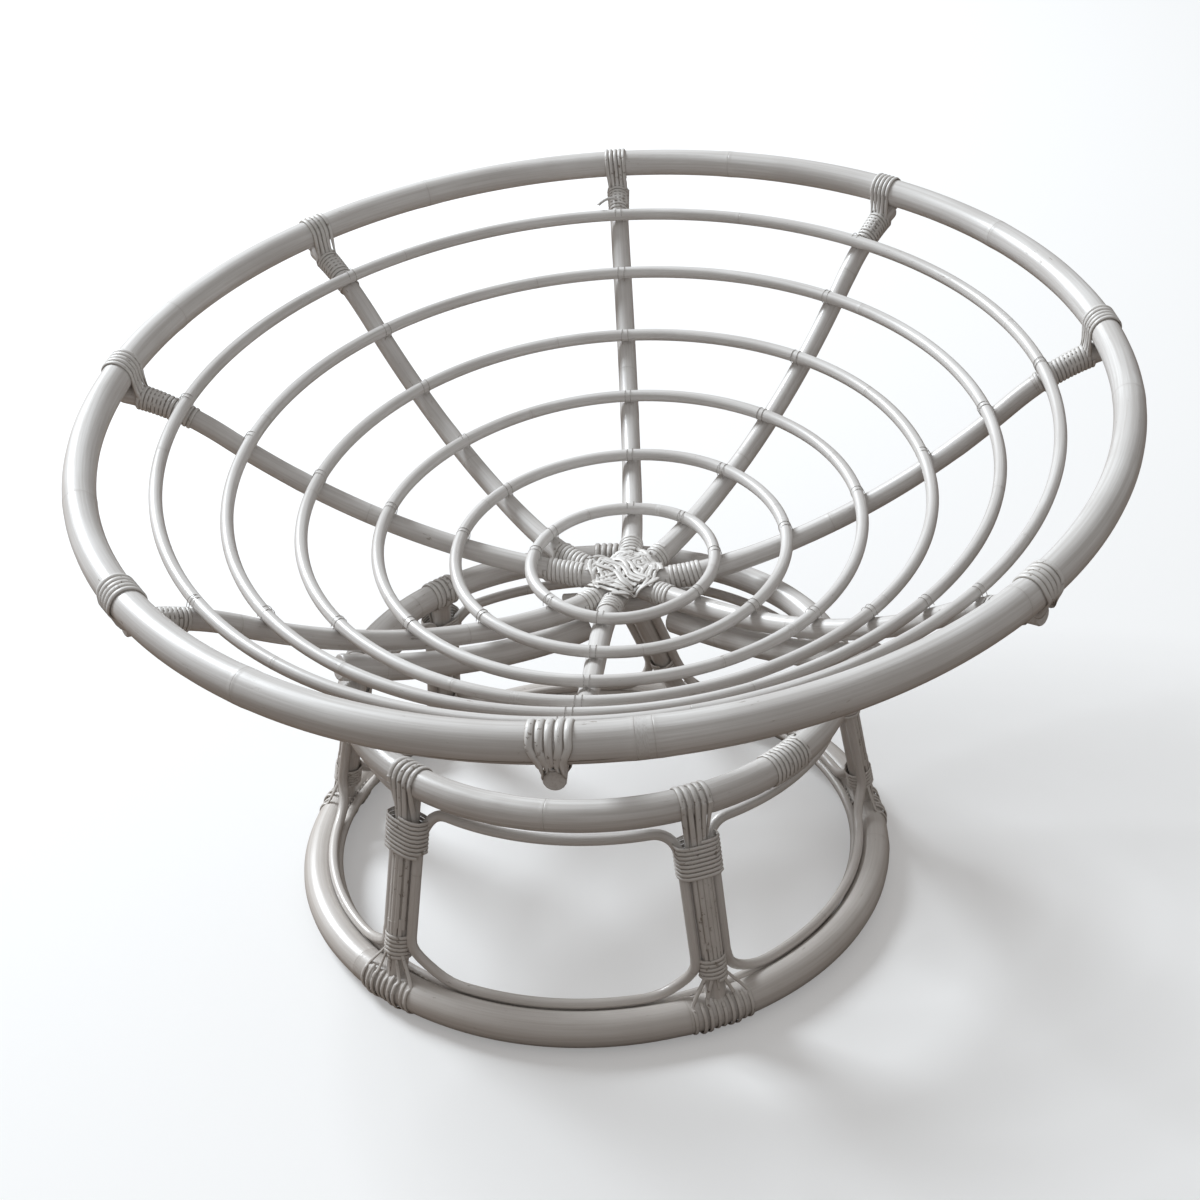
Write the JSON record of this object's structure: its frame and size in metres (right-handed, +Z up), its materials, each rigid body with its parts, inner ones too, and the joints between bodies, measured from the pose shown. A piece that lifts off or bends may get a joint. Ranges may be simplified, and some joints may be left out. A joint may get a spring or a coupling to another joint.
{
  "type": "papasan chair",
  "caption": "Round bowl of bent ribs and hoops under a thick rim, resting tilted on a low round stand of two rings, slanted posts and rounded loops, all joined by cane lashings.",
  "frame": {"origin": "middle of the object's outline seen from above, on the floor", "axes": "+Z up, -Y the way the bowl leans, which is where a sitter's legs go, +X to the right of someone who looks along +Y"},
  "size_m": [1.095, 1.0918, 0.5409],
  "materials": {
    "pole": "off-white paint, worn thin, over rattan pole",
    "rod": "off-white paint over thin rattan rod",
    "cane": "off-white paint over flat cane strand"
  },
  "bodies": {
    "stand": {"floor_ring": "pole", "floor_ring_liner": "rod", "top_ring": "pole", "post_1": "pole", "post_2": "pole", "post_3": "pole", "post_4": "pole", "post_5": "pole", "post_6": "pole", "panel_loop_1": "rod", "panel_loop_2": "rod", "panel_loop_3": "rod", "panel_loop_4": "rod", "panel_loop_5": "rod", "panel_loop_6": "rod", "top_lashing_1": "cane", "top_lashing_2": "cane", "top_lashing_3": "cane", "top_lashing_4": "cane", "top_lashing_5": "cane", "top_lashing_6": "cane", "foot_lashing_1": "cane", "foot_lashing_2": "cane", "foot_lashing_3": "cane", "foot_lashing_4": "cane", "foot_lashing_5": "cane", "foot_lashing_6": "cane"},
    "bowl": {"rim_pole": "pole", "hoop_1": "rod", "hoop_2": "rod", "hoop_3": "rod", "hoop_4": "rod", "hoop_5": "rod", "hoop_6": "rod", "rib_1": "pole", "rib_2": "pole", "rib_3": "pole", "rib_4": "pole", "rib_5": "pole", "rib_6": "pole", "rib_7": "pole", "rib_8": "pole", "rim_lashing_1": "cane", "rim_lashing_2": "cane", "rim_lashing_3": "cane", "rim_lashing_4": "cane", "rim_lashing_5": "cane", "rim_lashing_6": "cane", "rim_lashing_7": "cane", "rim_lashing_8": "cane", "hub_crosspiece": "pole", "hub_brace_right": "pole", "hub_brace_left": "pole", "hub_lashing_right": "cane", "hub_lashing_left": "cane"}
  },
  "joints": [
    {"name": "bowl_tilt", "type": "hinge", "parent": "stand", "child": "bowl", "pos_m": [-0.00006, -0.04887, 0.98055], "axis": [1, 0, 0], "range_deg": [-5.7, 0]}
  ]
}
